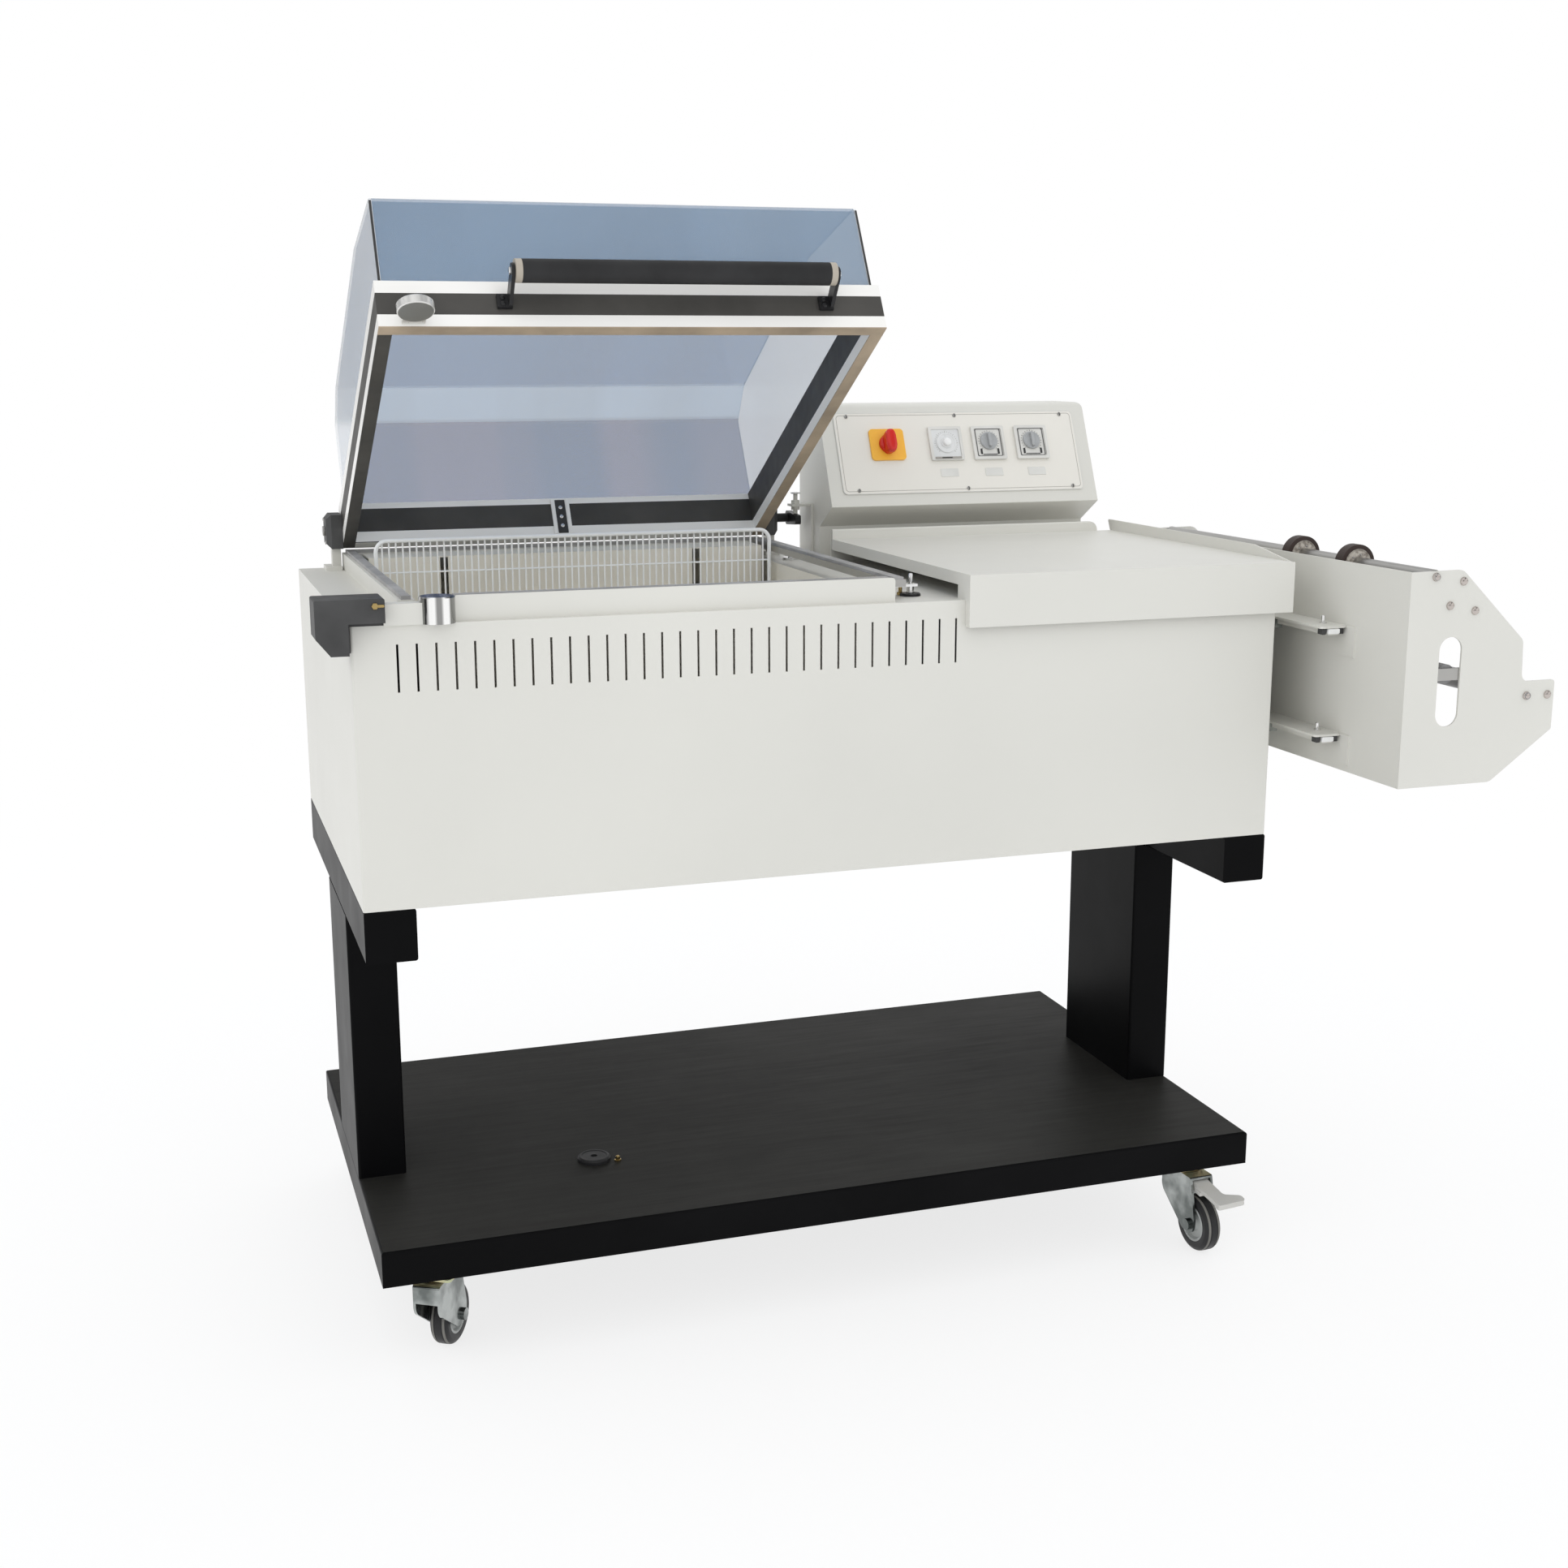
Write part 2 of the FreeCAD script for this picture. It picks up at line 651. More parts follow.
def heat_and_air():
    """Two hairpin heaters in the duct, the fan under the grid and its motor under the liner."""
    y = (duct_y + chamber_back) / 2
    for row in (0, 1):
        low = heater_low + row * heater_row_gap
        high = low + heater_rise
        end = chamber_right + heater_tail
        far = chamber_left + heater_end_gap
        add("heater_tubes", swept_rod([(end, y, low), (far, y, low), (far, y, high), (end, y, high)],
                                      heater_bend_r - 0.01, heater_r))
    low = chamber_bottom + sheet + fan_lift
    top = low + fan_height
    disc = rod((fan_x, fan_y, low), (fan_x, fan_y, low + fan_disc_t), fan_r)
    hub = rod((fan_x, fan_y, low), (fan_x, fan_y, top - fan_lift), fan_hub_r)
    blades = []
    for i in range(fan_blade_count):
        blade = box(fan_r - 1 - fan_blade_run, fan_r - 1, -fan_blade_t / 2, fan_blade_t / 2, 0, fan_height)
        blade.rotate(V(fan_r, 0, 0), V(0, 0, 1), fan_blade_turn)
        blade.rotate(V(0, 0, 0), V(0, 0, 1), i * 360.0 / fan_blade_count)
        blade.translate(V(fan_x, fan_y, low))
        blades.append(blade)
    motor_top = chamber_bottom
    motor_low = motor_top - motor_height
    shaft = rod((fan_x, fan_y, motor_top - fan_shaft_in), (fan_x, fan_y, low), fan_shaft_r)
    keep = rod((fan_x, fan_y, low - 1), (fan_x, fan_y, top + 1), fan_r)
    add("fan_impeller", fuse([disc, hub, shaft] + [b.common(keep) for b in blades]))
    body = rod((fan_x, fan_y, motor_low), (fan_x, fan_y, motor_top), motor_r)
    bore = rod((fan_x, fan_y, motor_top - fan_shaft_in - 1), (fan_x, fan_y, motor_top), fan_shaft_r + run_gap)
    add("fan_motor", body.cut(bore))
    floor_top = cabinet_bottom + sheet
    add("seal_transformer", box(transformer_x, transformer_x + transformer_length, transformer_y,
                                transformer_y + transformer_depth, floor_top, floor_top + transformer_height))


def turn_up(shape):
    """From the shut position to the photographed one."""
    shape = shape.copy()
    shape.rotate(V(0, hinge_y, hinge_z), V(1, 0, 0), -lid_open)
    return shape


def lid():
    """Frame of four bars with black bands, seals, hood, handle, disc and hinge pins."""
    low, high = seal_z, seal_z + bar_height
    outer = box(lid_left, lid_right, lid_front, lid_back, low, high)
    inner = box(lid_left + bar_width, lid_right - bar_width, lid_front + bar_width, lid_back - bar_width,
                low, high)
    frame = outer.cut(inner)
    z0, z1 = low + band_low, low + band_high
    ring_out = outer.cut(box(lid_left + band_depth, lid_right - band_depth, lid_front + band_depth,
                             lid_back - band_depth, low, high))
    ring_in = box(lid_left + bar_width - band_depth, lid_right - bar_width + band_depth,
                  lid_front + bar_width - band_depth, lid_back - bar_width + band_depth, low, high).cut(inner)
    slab = box(lid_left, lid_right, lid_front, lid_back, z0, z1)
    rear = lid_back - bar_width
    slab_in = box(lid_left, lid_right, lid_front, rear, z0, high).fuse(
        box(lid_left, lid_right, rear, lid_back, z0, high - band_lip))
    bands = [ring_out.common(slab), ring_in.common(slab_in).removeSplitter()]
    bore = box(lid_left + bar_wall, lid_right - bar_wall, lid_front + bar_wall, lid_back - bar_wall,
               low + bar_skin, high - bar_skin)
    core = box(lid_left + bar_width - bar_wall, lid_right - bar_width + bar_wall,
               lid_front + bar_width - bar_wall, lid_back - bar_width + bar_wall, low, high)
    drain = bar_width - bar_wall - 2
    drains = [rod((x, y, high - bar_skin), (x, y, high), 2) for x in (lid_left + drain, lid_right - drain)
              for y in (lid_front + 120, lid_back - 120)]
    frame = frame.cut(bands).cut(bore.cut(core)).cut(drains)
    add("lid_frame", turn_up(frame))
    under = [box(lid_left, lid_left + bar_width, lid_front + bar_width, lid_back, low - tape_t, low),
             box(lid_left + bar_width, lid_right - bar_width, lid_back - bar_width, lid_back,
                 low - tape_t, low)]
    add("lid_bands", *[turn_up(b) for b in bands + under])
    tape = fuse([box(lid_left, lid_right, lid_front, lid_front + bar_width, low - tape_t, low),
                 box(lid_right - bar_width, lid_right, lid_front + bar_width, lid_back, low - tape_t, low)])
    add("seal_tape", turn_up(tape))

    front, back = lid_front + hood_inset, lid_back - hood_inset
    def side(step):
        return [(front + step, high - step), (front + step, high + hood_front_rise - step * 0.7),
                (front + hood_slope_run, high + hood_top_rise - step),
                (back - hood_back_run + step * 0.2, high + hood_top_rise - step),
                (back - step, high + hood_back_rise - step * 0.6), (back - step, high - step)]
    skin = prism(side(0), [0, 6, 10, 8, 8, 0], "x", lid_left + hood_inset, lid_right - hood_inset)
    void = prism(side(hood_t), [0, 3, 7, 5, 5, 0], "x", lid_left + hood_inset + hood_t,
                 lid_right - hood_inset - hood_t)
    add("lid_hood", turn_up(skin.cut(void)))

    grip_y, grip_z = lid_front - handle_out, low + handle_up
    grip = rod((handle_left + strap_t + collar_w, grip_y, grip_z),
               (handle_right - strap_t - collar_w, grip_y, grip_z), grip_r)
    bar_hole = rod((handle_left, grip_y, grip_z), (handle_right, grip_y, grip_z), grip_rod_r)
    add("handle_grip", turn_up(grip.cut(bar_hole)))
    steel = [rod((handle_left + strap_t, grip_y, grip_z), (handle_right - strap_t, grip_y, grip_z),
                 grip_rod_r)]
    for a, b in ((handle_left + strap_t, handle_left + strap_t + collar_w),
                 (handle_right - strap_t - collar_w, handle_right - strap_t)):
        steel.append(rod((a, grip_y, grip_z), (b, grip_y, grip_z), collar_r))
    add("handle_bar", turn_up(fuse(steel)))
    for x0 in (handle_left, handle_right - strap_t):
        mid = low + (band_low + band_high) / 2 + strap_rise
        half = strap_w / 2
        slant = [(lid_front, mid - half), (lid_front, mid + half), (grip_y - 4, grip_z + half),
                 (grip_y - half - 2, grip_z), (grip_y - 4, grip_z - half)]
        arm = prism(slant, [0, 0, 3, 6, 3], "x", x0, x0 + strap_t)
        pad = box(x0 - strap_pad, x0 + strap_t, lid_front - strap_t, lid_front, mid - half, mid + half)
        add("handle_straps", turn_up(fuse([arm, pad])))

    disc_y, disc_z = lid_front - disc_out, low + disc_up
    disc = rod((disc_x, disc_y, disc_z), (disc_x, disc_y, disc_z + disc_t), disc_r)
    disc = disc.makeChamfer(1, [e for e in disc.Edges if e.BoundBox.ZLength < 0.01])
    tongue = box(disc_x - disc_tongue / 2, disc_x + disc_tongue / 2, disc_y, lid_front, disc_z + 1,
                 disc_z + disc_t - 1)
    add("armature_disc", turn_up(fuse([disc, tongue])))

    pins = [rod((lid_left - block_width, hinge_y, hinge_z), (lid_left + 4, hinge_y, hinge_z), hinge_pin_r),
            rod((lid_right - 4, hinge_y, hinge_z), (lid_right + stop_in + stop_w + 2, hinge_y, hinge_z),
                hinge_pin_r)]
    pins = [pins[0].cut(outer), pins[1].cut(outer)]
    arm = prism([(hinge_y + stop_tail, hinge_z - stop_tail), (hinge_y + stop_tail, hinge_z + stop_tail),
                 (hinge_y - stop_reach, hinge_z + stop_tail * 0.5),
                 (hinge_y - stop_reach, hinge_z - stop_tail * 0.7)], [6, 6, 3, 3], "x",
                lid_right + stop_in, lid_right + stop_in + stop_w)
    add("hinge_pins", turn_up(pins[0]), turn_up(pins[1]).fuse(arm))

    rib_x = (lid_left + lid_right) / 2 + 4
    inner_y = lid_back - bar_width
    ribs = [box(rib_x + s - 2, rib_x + s + 2, inner_y - 3, inner_y, low + 2, high - 2) for s in (-10, 10)]
    web = box(rib_x - 10, rib_x + 10, inner_y - 1.5, inner_y, low + 2, high - 2)
    add("lid_frame", turn_up(fuse(ribs + [web])))


def hinges():
    """Blocks that hold the hinge pins, their brackets on the deck and the lid stop."""
    half = block_size / 2
    for x0, x1, chamfer_x in ((lid_left - body_gap - block_width, lid_left - body_gap, 1),
                              (lid_right + body_gap, lid_right + body_gap + block_width, -1)):
        blank = box(x0, x1, hinge_y - half, hinge_y + half, hinge_z - half, hinge_z + half)
        far = x0 if chamfer_x > 0 else x1
        blank = blank.makeChamfer(block_edge, [e for e in blank.Edges if abs(e.BoundBox.XMin - far) < 0.01
                                               and abs(e.BoundBox.XMax - far) < 0.01])
        bore = rod((x0 - 1, hinge_y, hinge_z), (x1 + 1, hinge_y, hinge_z), hinge_pin_r + run_gap)
        add("hinge_blocks", blank.cut(bore))
        plinth_top = hinge_z - half
        post = box(x0 + block_edge + 1, x1 - 2, hinge_y - bracket_depth / 2, hinge_y + bracket_depth / 2,
                   deck_z, plinth_top)
        shoe = box(x0 - 2, x1 - 2, hinge_y - shoe_depth / 2, hinge_y + shoe_depth / 2, deck_z,
                   deck_z + shoe_t)
        if chamfer_x < 0:
            shoe.translate(V(4, 0, 0))
        add("hinge_brackets", fuse([post, shoe]))
    stud_x = lid_right + stop_in + stop_w / 2
    stud_y = hinge_y - stop_stud_back
    stop_top = hinge_z + stop_tail * 0.65
    tab_z = hinge_z + stop_tab_rise
    plate = box(console_left - stop_plate_t, console_left, stud_y - 14, console_back_y - 10, deck_z, tab_z)
    tab = box(stud_x - 8, console_left, stud_y - 10, stud_y + 10, tab_z - stop_plate_t, tab_z)
    foot = box(console_left - 20, console_left, stud_y + 20, console_back_y - 12, deck_z,
               deck_z + stop_plate_t)
    stud = rod((stud_x, stud_y, stop_top + body_gap), (stud_x, stud_y, tab_z + 14), stop_stud_r)
    hole = rod((stud_x, stud_y, tab_z - stop_plate_t - 1), (stud_x, stud_y, tab_z + 1), stop_stud_r)
    hexagon = [(stud_x + stop_nut_r * math.cos(math.radians(60 * k)),
                stud_y + stop_nut_r * math.sin(math.radians(60 * k))) for k in range(6)]
    nuts = [prism(hexagon, 0, "z", z, z + stop_nut_t)
            for z in (tab_z - stop_plate_t - stop_nut_t, tab_z)]
    add("hinge_brackets", fuse([plate, tab, foot]).cut(hole), fuse([stud] + nuts))


def corner():
    """Black corner block that wraps over the deck's edge, the arm on it and the holding magnet."""
    shape = prism([(block_left, block_low + block_chamfer), (block_left + block_chamfer * 0.8, block_low),
                   (0, block_low), (0, deck_z), (block_right, deck_z), (block_right, block_top),
                   (block_left, block_top)], [0, 0, 0, 0, 0, 2, 2], "y", 0, block_back)
    over = prism([(block_left, block_low + block_chamfer), (block_left + block_chamfer * 0.8, block_low),
                  (-block_wrap, block_low), (-block_wrap, deck_z + block_over),
                  (block_right, deck_z + block_over), (block_right, block_top),
                  (block_left, block_top)], [0, 0, 0, 0, 0, 2, 2], "y", block_front, 0)
    add("corner_block", fuse([shape, over]))
    disc_y = lid_front - disc_out
    arm = box(block_right, disc_x - magnet_r + 4, disc_y - arm_depth / 2, disc_y + arm_depth / 2, deck_z,
              arm_top)
    magnet_top = seal_z + disc_up - body_gap
    magnet = rod((disc_x, disc_y, deck_z), (disc_x, disc_y, magnet_top), magnet_r)
    groove = magnet_top - magnet_groove
    ring = rod((disc_x, disc_y, groove), (disc_x, disc_y, magnet_top), magnet_r * 0.62)
    core = rod((disc_x, disc_y, groove), (disc_x, disc_y, magnet_top), magnet_r * 0.5)
    magnet = magnet.cut(ring.cut(core))
    add("magnet_arm", arm.cut(rod((disc_x, disc_y, deck_z), (disc_x, disc_y, block_top), magnet_r)))
    add("holding_magnet", magnet)


def table():
    """Loading table of folded sheet: front skirt, side flanges, rolled back hem."""
    top = box(table_left, table_right, table_front, table_back, table_top - table_t, table_top)
    skirt = box(table_left, table_right, table_front, table_front + table_t, table_top - skirt_drop,
                table_top)
    left = box(table_left, table_left + table_t, table_front, table_back, table_top - table_flange, table_top)
    tail = box(table_right - table_t, table_right, table_front, table_back, deck_z, table_top)
    fin = prism([(table_front + 2, table_top - 1), (table_front + flange_ramp, table_top + table_flange - 1),
                 (flange_back, table_top + table_flange), (flange_back - 8, table_top - 1)], [0, 6, 2, 3],
                "x",
                table_right - table_t, table_right)
    turned = [box(table_left, table_left + table_t, table_front, -body_gap, table_top - skirt_drop, deck_z),
              box(table_left, table_left + table_t, table_front, table_front + table_return, deck_z,
                  table_top - table_flange)]
    hem_y, hem_z = table_back + hem_width, table_top + table_hem
    hem = prism([(table_back - table_t, table_top - table_t), (table_back - table_t, hem_z), (hem_y, hem_z),
                 (hem_y, deck_z), (hem_y - table_t, deck_z), (hem_y - table_t, hem_z - table_t),
                 (table_back, hem_z - table_t), (table_back, table_top - table_t)],
                [0, 1.8, 3, 0, 0, 0, 0, 0], "x", table_left, hem_right)
    corner = table_hem - 1
    hem = hem.common(prism(rectangle(table_left, hem_right, deck_z, hem_z), [0, 0, corner, 0], "y",
                           table_back - table_t - 1, hem_y + 1))
    add("loading_table", fuse([top, skirt, left, tail, fin, hem] + turned))


def console_face(x, up, out):
    """A point on the sloping face: up along it from the nose, out square to it."""
    run = V(0, console_top_y - console_nose_y, console_top_z - console_nose_z)
    run.normalize()
    normal = V(0, -run.z, run.y)
    return V(x, console_nose_y, console_nose_z) + run * up + normal * out


def on_face(shape, x, up, out=0.0):
    """Turn a shape made lying on z = 0, with y up the face, onto the console's face."""
    lean = math.degrees(math.atan2(console_top_z - console_nose_z, console_top_y - console_nose_y))
    shape = shape.copy()
    shape.rotate(V(0, 0, 0), V(1, 0, 0), lean)
    shape.translate(console_face(x, up, out))
    return shape


def console():
    """Sloping console with its panel, instruments and knobs."""
    def side(step, base):
        return [(console_low_y + step, base), (console_low_y + step, console_under_z + step * 0.4),
                (console_nose_y + step * 1.3, console_nose_z + step * 0.3),
                (console_top_y + step, console_top_z - step), (console_back_y - step, console_top_z - step),
                (console_back_y - step, base)]
    skin = prism(side(0, deck_z), [0, 0, 1, console_top_r, 2, 0], "x", console_left, console_right)
    void = prism(side(console_t, deck_z), [0, 0, 0, console_top_r - console_t, 0, 0], "x",
                 console_left + console_t, console_right - console_t)
    def rounded(step):
        """The console seen from the front, with its two top corners rounded, stepped in by a wall."""
        edge = rectangle(console_left + step, console_right - step, deck_z - 1, console_top_z - step)
        r = console_side_r - step
        return prism(edge, [0, 0, r, r], "y", console_nose_y - 1, console_back_y + 1)
    skin, void = skin.common(rounded(0)), void.common(rounded(console_t))
    timer_up = instrument_up + timer_rise
    spindle_places = ((switch_x, instrument_up), (temp_x, instrument_up), (timer_left_x, timer_up),
                      (timer_right_x, timer_up))
    bores = []
    for x, up in spindle_places:
        bores.append(on_face(Part.makeCylinder(spindle_r + 1, 20, V(0, 0, -12)), x, up))
    add("console_box", skin.cut(void).cut(bores))
    plate = prism(rectangle(-(panel_right - panel_left) / 2, (panel_right - panel_left) / 2,
                            0, panel_high - panel_low), 6, "z", 0, panel_t)
    plate = on_face(plate, (panel_left + panel_right) / 2, panel_low)
    add("console_panel", plate.cut(bores))

    half, tall = switch_plate_w / 2, switch_plate_h / 2
    bore = Part.makeCylinder(spindle_r + run_gap, 40, V(0, 0, -20))
    square = prism(rectangle(-half, half, -tall, tall), switch_plate_r, "z", 0, switch_plate_t)
    add("switch_plate", on_face(square.cut(bore), switch_x, instrument_up, panel_t))
    for x, up in spindle_places[1:]:
        body = prism(rectangle(-instrument / 2, instrument / 2, -instrument / 2, instrument / 2), 2, "z",
                     0, instrument_t)
        pane = instrument / 2 - instrument_rim
        recess = prism(rectangle(-pane, pane, -pane, pane), 2, "z", instrument_t - instrument_recess,
                       instrument_t)
        shift = V(0, instrument_up - up, 0)
        body.translate(shift)
        recess.translate(shift)
        add("console_instruments", on_face(body.cut(recess).cut(bore), x, up, panel_t))

    def knob(name, x, up, radius, thick, base, bar):
        skirt = Part.makeCylinder(radius, thick * 0.4, V(0, 0, base))
        if bar:
            grip = prism(rectangle(-radius * 0.32, radius * 0.32, -radius * 0.98, radius * 0.98), 3, "z",
                         base, base + thick)
        else:
            grip = Part.makeCylinder(radius * 0.8, thick, V(0, 0, base))
        spindle = Part.makeCylinder(spindle_r, spindle_length + base, V(0, 0, -spindle_length))
        add(name, on_face(fuse([skirt, grip, spindle]), x, up, panel_t))
    knob("switch_knob", *spindle_places[0], switch_knob_r, switch_knob_t, switch_plate_t + body_gap, True)
    names = ("temperature_knob", "timer_dial_left", "timer_dial_right")
    for name, (x, up) in zip(names, spindle_places[1:]):
        knob(name, x, up, dial_r, dial_t, instrument_t - instrument_recess + body_gap, False)


def film_plate_outline():
    """Outline of an end plate, from its lower left corner."""
    return [(film_left, film_bottom), (film_left, film_top), (film_left + film_top_run, film_top + 1),
            (film_shoulder_x, film_shoulder_z), (film_neck_x, film_lobe_z), (film_right, film_lobe_z),
            (film_right, film_lobe_low), (film_foot_x, film_bottom)]


def film_unit():
    """Folded film frame with end plates, tie bars, roll rollers, perforator shaft and slide members."""
    corner_r = [0, 2, 14, 10, 9, 4, 3, 14]
    ends = []
    for y0, y1 in ((film_front, film_front + film_t), (film_back - film_t, film_back)):
        plate = prism(film_plate_outline(), corner_r, "y", y0, y1)
        slot = prism(rectangle(slot_x - slot_w / 2, slot_x + slot_w / 2, slot_low, slot_high),
                     slot_w / 2 - 0.01, "y", y0 - 1, y1 + 1)
        holes = [rod((x, y0 - 1, z), (x, y1 + 1, z), journal_r + run_gap)
                 for x, z in ((perf_x, perf_z), (outer_roller_x, outer_roller_z))]
        ends.append(plate.cut([slot] + holes))
    side = box(film_left, film_left + film_t, film_front, film_back, film_bottom, film_top)
    lip = box(film_left, film_left + film_lip, film_front, film_back, film_bottom, film_bottom + film_t)
    add("film_frame", fuse(ends + [side, lip]))

    inside0, inside1 = film_front + film_t, film_back - film_t
    for x, z in tie_places:
        bar = rod((x, inside0, z), (x, inside1, z), tie_r)
        heads = [rod((x, film_front - bolt_t, z), (x, film_front, z), bolt_r),
                 rod((x, film_back, z), (x, film_back + bolt_t, z), bolt_r)]
        add("film_ties", bar, *heads)

    x, z = outer_roller_x, outer_roller_z
    drum = rod((x, inside0 + roller_gap, z), (x, inside1 - roller_gap, z), roller_r)
    pin = rod((x, film_front - pin_end, z), (x, film_back + pin_end, z), journal_r)
    add("roll_roller_outer", fuse([drum, pin]))
    strap_low = inner_roller_z - journal_r - roller_strap_edge
    strap_high = inner_roller_z + journal_r + roller_strap_edge
    strap_half = slot_w / 2 + roller_strap_side
    hole = rod((slot_x, inside0 - 1, inner_roller_z), (slot_x, inside1 + 1, inner_roller_z),
               journal_r + run_gap)
    for y0, y1 in ((inside0, inside0 + roller_strap_t), (inside1 - roller_strap_t, inside1)):
        strap = prism(rectangle(slot_x - strap_half, slot_x + strap_half, strap_low, strap_high), 2, "y",
                      y0, y1)
        add("film_ties", strap.cut(hole))
    drum = rod((slot_x, inside0 + roller_strap_t + roller_gap, inner_roller_z),
               (slot_x, inside1 - roller_strap_t - roller_gap, inner_roller_z), roller_r)
    pin = rod((slot_x, inside0, inner_roller_z), (slot_x, inside1, inner_roller_z), journal_r)
    add("roll_roller_inner", fuse([drum, pin]))

    shaft = rod((perf_x, inside0 + roller_gap, perf_z), (perf_x, inside1 - roller_gap, perf_z), perf_shaft_r)
    pin = rod((perf_x, film_front - pin_end, perf_z), (perf_x, film_back + pin_end, perf_z), journal_r)
    wheels = []
    for y in perf_wheel_y:
        wheel = rod((perf_x, y, perf_z), (perf_x, y + perf_wheel_t, perf_z), perf_wheel_r)
        dish = rod((perf_x, y, perf_z), (perf_x, y + perf_dish, perf_z), perf_wheel_r - perf_rim)
        boss = rod((perf_x, y, perf_z), (perf_x, y + perf_dish, perf_z), perf_shaft_r + perf_boss)
        wheels.append(wheel.cut(dish.cut(boss)))
    add("perforator", fuse([shaft, pin] + wheels))


def slides():
    """C rails under carrier plates on the cabinet, and the bars on the film unit that run in them."""
    x1 = film_left - slide_inset
    x0 = x1 - slide_w
    mid = (x0 + x1) / 2
    for top in slide_levels:
        plate = prism([(x0 - 2, slide_front), (film_left, slide_front), (film_left, slide_back),
                       (x0 - 2, slide_back)], [4, 6, 0, 0], "z", top - slide_plate_t, top)
        web = box(film_left - slide_plate_t + 1, film_left, slide_front - carrier_ahead, slide_back,
                  top - carrier_drop, top)
        under = top - slide_plate_t
        half = runner_w / 2
        runner = box(mid - half, mid + half, slide_front + 2, slide_back, under - slide_h + slide_wall, under)
        add("film_slides", fuse([plate, web, runner]))
        rail_low = under - slide_h
        outer = box(x0, x1 - slide_side_gap, slide_fixed_front, slide_fixed_back, rail_low, under - body_gap)
        inner = box(mid - half - body_gap, mid + half + body_gap, slide_fixed_front - 1, slide_fixed_back + 1,
                    rail_low + slide_wall - body_gap, under)
        shelf = box(cabinet_length, x0 + slide_shelf, slide_fixed_front, slide_fixed_back,
                    rail_low - slide_shelf_t, rail_low)
        flange = box(cabinet_length, cabinet_length + slide_shelf_t, slide_fixed_front, slide_fixed_back,
                     rail_low - slide_flange, rail_low)
        add("slide_rails", fuse([outer.cut(inner), shelf, flange]))


def caster(place, x, y, turn, brake):
    """One swivel caster: plate with raceway, fork with axle, wheel, and a brake pedal where it has one."""
    top = tray_top - tray_height
    plate_low = top - caster_plate_t
    race_low = plate_low - race_height
    half = caster_plate / 2
    plate = prism(rectangle(-half, half, -half, half), 5, "z", plate_low, top)
    race = Part.makeCone(race_r - 4, race_r, race_height, V(0, 0, race_low), V(0, 0, 1))
    head_top = race_low - body_gap
    nut_top = head_top - fork_t - body_gap
    pin = rod((0, 0, nut_top - 7), (0, 0, race_low), kingpin_r)
    nut = rod((0, 0, nut_top - 6), (0, 0, nut_top), kingpin_r + 3)
    fixed = fuse([plate, race, pin, nut])

    trail, axle_z = caster_trail, top - caster_height + wheel_r
    cheek_in = wheel_width / 2 + fork_gap
    cheek_out = cheek_in + fork_t
    cheek_profile = [(-fork_nose, head_top), (-fork_nose, head_top - fork_drop), (trail - 13, axle_z - 10),
                     (trail + 10, axle_z - 10), (trail + 12, axle_z + 10), (fork_nose + 6, head_top)]
    crown = prism(cheek_profile, [4, 17, 9, 9, 6, 3], "y", -cheek_out, cheek_out)
    hollow = box(-fork_nose - 1, trail + 40, -cheek_in, cheek_in, axle_z - 30, head_top - fork_t)
    nose = prism(cheek_profile, [4, 17, 9, 9, 6, 3], "y", -cheek_in, cheek_in)
    nose = nose.common(box(-fork_nose, -fork_nose + fork_t, -cheek_in, cheek_in, head_top - 22, head_top))
    axle = rod((trail, -cheek_out, axle_z), (trail, cheek_out, axle_z), axle_r)
    nuts = [rod((trail, side * cheek_out, axle_z), (trail, side * (cheek_out + 4), axle_z), 7)
            for side in (-1, 1)]
    pieces = [crown.cut(hollow), nose, axle] + nuts
    pivot_z = head_top - fork_t - 7
    if brake:
        pieces.append(rod((pedal_pivot, -cheek_out, pivot_z), (pedal_pivot, cheek_out, pivot_z), pedal_pin_r))
    pin_hole = rod((0, 0, head_top - fork_t - 1), (0, 0, head_top + 1), kingpin_r + run_gap)
    fork = fuse(pieces).cut(pin_hole)

    half_w = wheel_width / 2
    ring = outline([(hub_r, -half_w + 1), (wheel_r - 5, -half_w), (wheel_r - 1.5, -half_w + 2),
                    (wheel_r, -half_w + 5), (wheel_r, -groove_width / 2), (wheel_r - groove_depth, 0),
                    (wheel_r, groove_width / 2), (wheel_r, half_w - 5), (wheel_r - 1.5, half_w - 2),
                    (wheel_r - 5, half_w), (hub_r, half_w - 1)], [0] * 11,
                   lambda a, b: V(trail + a, b, axle_z))
    tyre = Part.Face(ring).revolve(V(trail, 0, axle_z), V(0, 1, 0), 360)
    core = outline([(axle_r + run_gap, -half_w), (axle_r + 5, -half_w), (axle_r + 6, -half_w + 4),
                    (hub_r - 4, -half_w + 4), (hub_r - 3, -half_w + 1), (hub_r, -half_w + 1),
                    (hub_r, half_w - 1), (hub_r - 3, half_w - 1), (hub_r - 4, half_w - 4),
                    (axle_r + 6, half_w - 4), (axle_r + 5, half_w), (axle_r + run_gap, half_w)],
                   [0] * 12, lambda a, b: V(trail + a, b, axle_z))
    hub = Part.Face(core).revolve(V(trail, 0, axle_z), V(0, 1, 0), 360)

    made = {"caster_plates": [fixed], "fork_" + place: [fork], "wheel_" + place: [tyre, hub]}
    if brake:
        made["brake_pedal"] = [brake_pedal(cheek_in - body_gap, pivot_z)]
    for name, shapes in made.items():
        for shape in shapes:
            shape.rotate(V(0, 0, 0), V(0, 0, 1), turn)
            shape.translate(V(x, y, 0))
            add(name, shape)


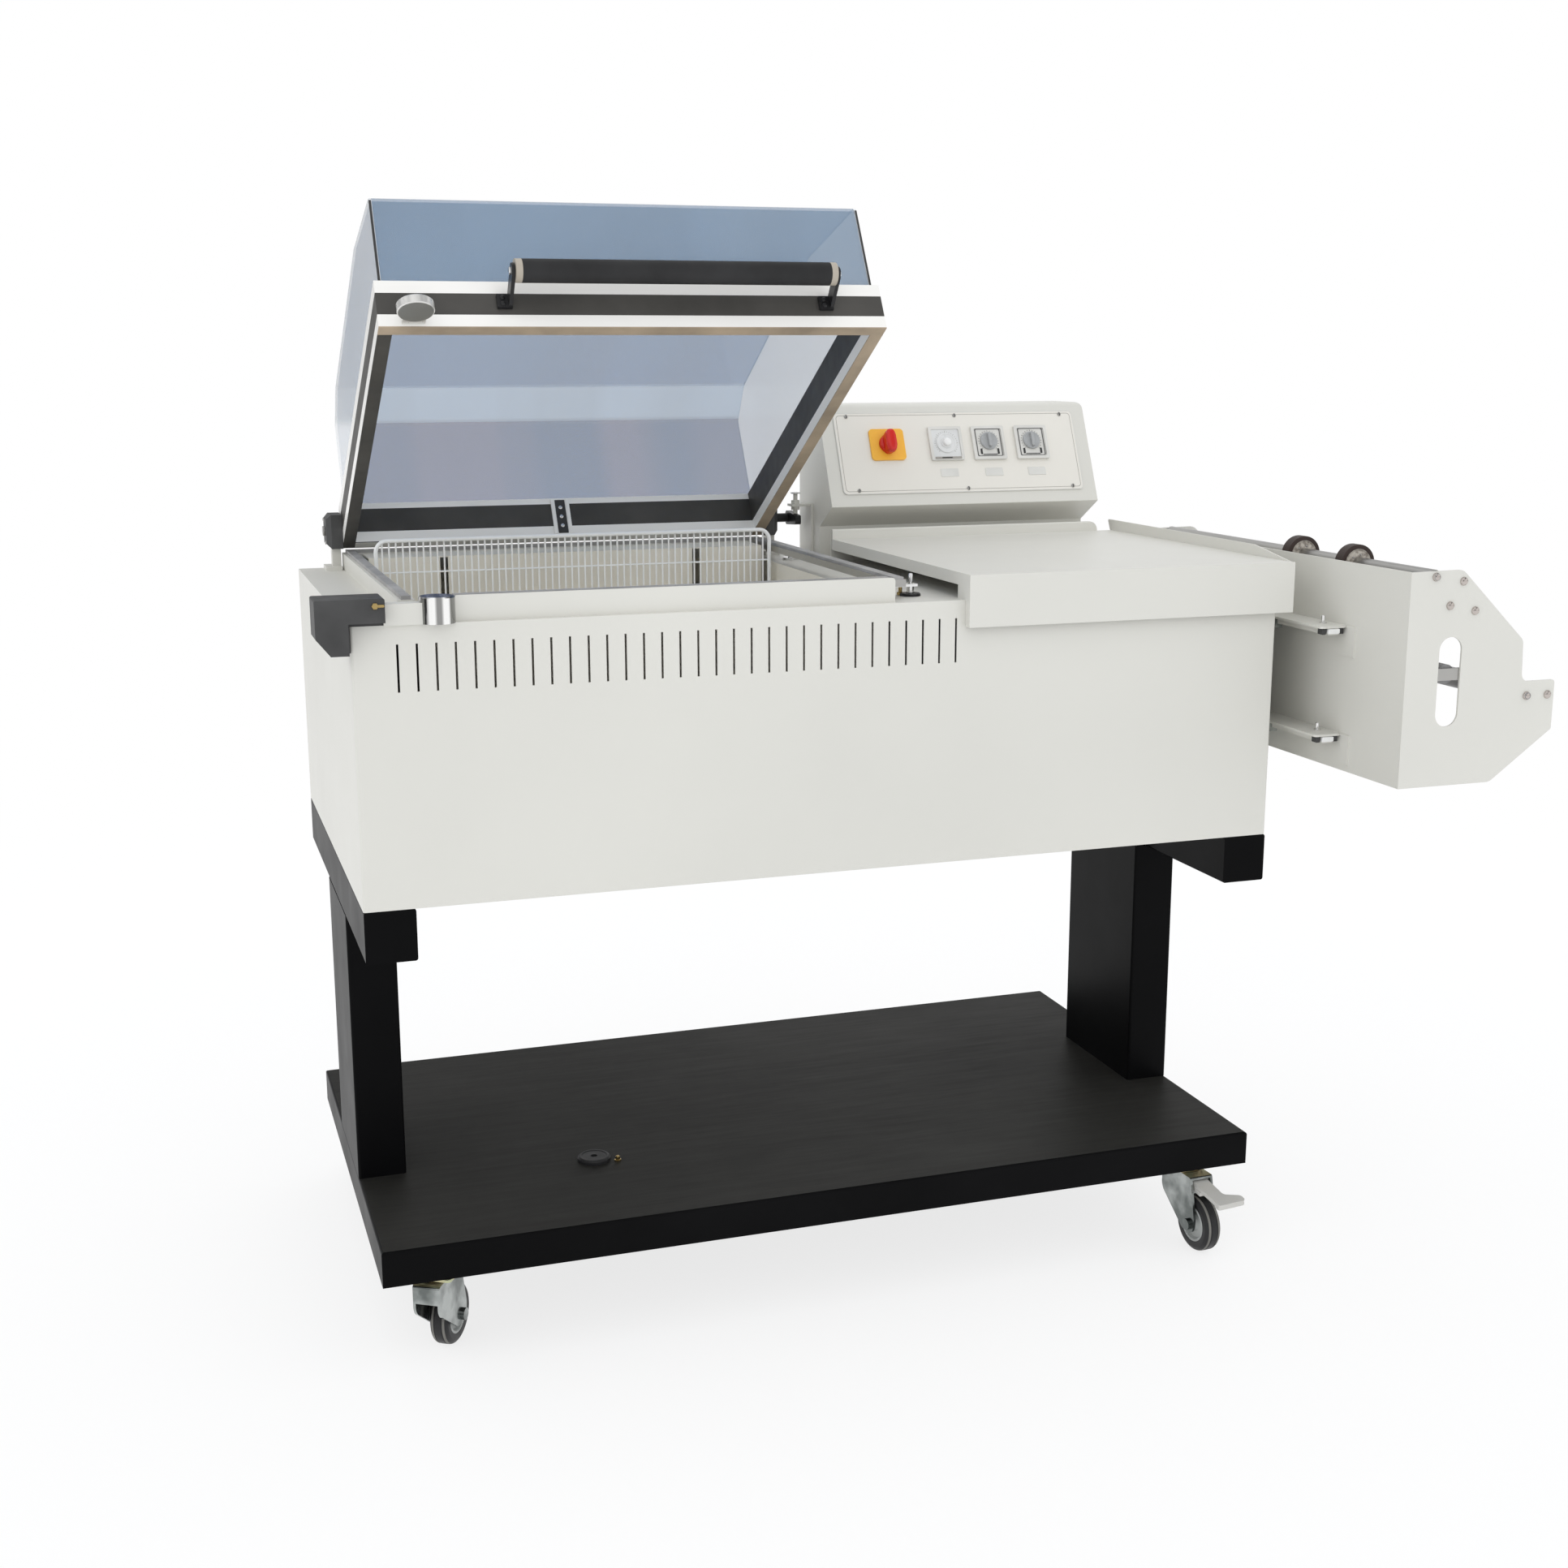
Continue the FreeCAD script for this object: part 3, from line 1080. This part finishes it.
def brake_pedal(half, pivot_z):
    """A cast pedal: barrel on its pin, an arm over the wheel, and a wide tip set to one side."""
    arm = half - 2
    tip_in = pedal_reach - 11
    plan = [(pedal_pivot, -arm), (tip_in, -arm + 2), (pedal_reach, -arm + 2),
            (pedal_reach - 2, pedal_tip_width - arm), (tip_in - 2, pedal_tip_width - arm),
            (tip_in - 10, arm), (pedal_pivot, arm)]
    plate = prism(plan, [0, 3, 3, 5, 5, 6, 0], "z", pivot_z, pivot_z + pedal_t)
    lip = prism([(tip_in, -arm + 2), (pedal_reach, -arm + 2), (pedal_reach - 2, pedal_tip_width - arm),
                 (tip_in, pedal_tip_width - arm)], [3, 3, 4, 4], "z", pivot_z - 2, pivot_z)
    block = box(pedal_pivot, pedal_pivot + 24, -arm, arm, pivot_z - 5, pivot_z)
    shape = fuse([plate, lip, block])
    shape.rotate(V(pedal_pivot, 0, pivot_z), V(0, 1, 0), pedal_tilt)
    barrel = rod((pedal_pivot, -half, pivot_z), (pedal_pivot, half, pivot_z), pedal_pin_r + 3)
    bore = rod((pedal_pivot, -half - 1, pivot_z), (pedal_pivot, half + 1, pivot_z), pedal_pin_r + run_gap)
    return fuse([shape, barrel]).cut(bore)


def casters():
    for place, turn in caster_turn.items():
        front = place.startswith("front")
        x = tray_left + caster_inset_x if place.endswith("left") else tray_right - caster_inset_x
        y = tray_front + caster_inset_y if front else tray_back - caster_inset_y
        caster(place, x, y, turn, place == "front_right")


stand()
cabinet()
chamber()
grids()
heat_and_air()
lid()
hinges()
corner()
table()
console()
film_unit()
slides()
casters()

everything = Part.Compound([shape for shapes in nodes.values() for shape in shapes])
extent = everything.optimalBoundingBox(False)
shift = V(-(extent.XMin + extent.XMax) / 2, -(extent.YMin + extent.YMax) / 2, -extent.ZMin)
os.makedirs("parts", exist_ok=True)
for name, shapes in nodes.items():
    whole = shapes[0] if len(shapes) == 1 else Part.Compound(shapes)
    whole = whole.copy()
    whole.translate(shift)
    whole.exportStep("parts/" + name + ".step")
print("nodes", len(nodes), "shift", shift, "size", extent.XLength, extent.YLength, extent.ZLength)
for name, shapes in nodes.items():
    solids = sum(len(s.Solids) for s in shapes)
    valid = all(s.isValid() for s in shapes)
    if not valid or solids != len(shapes):
        print("look at", name, "solids", solids, "of", len(shapes), "valid", valid)
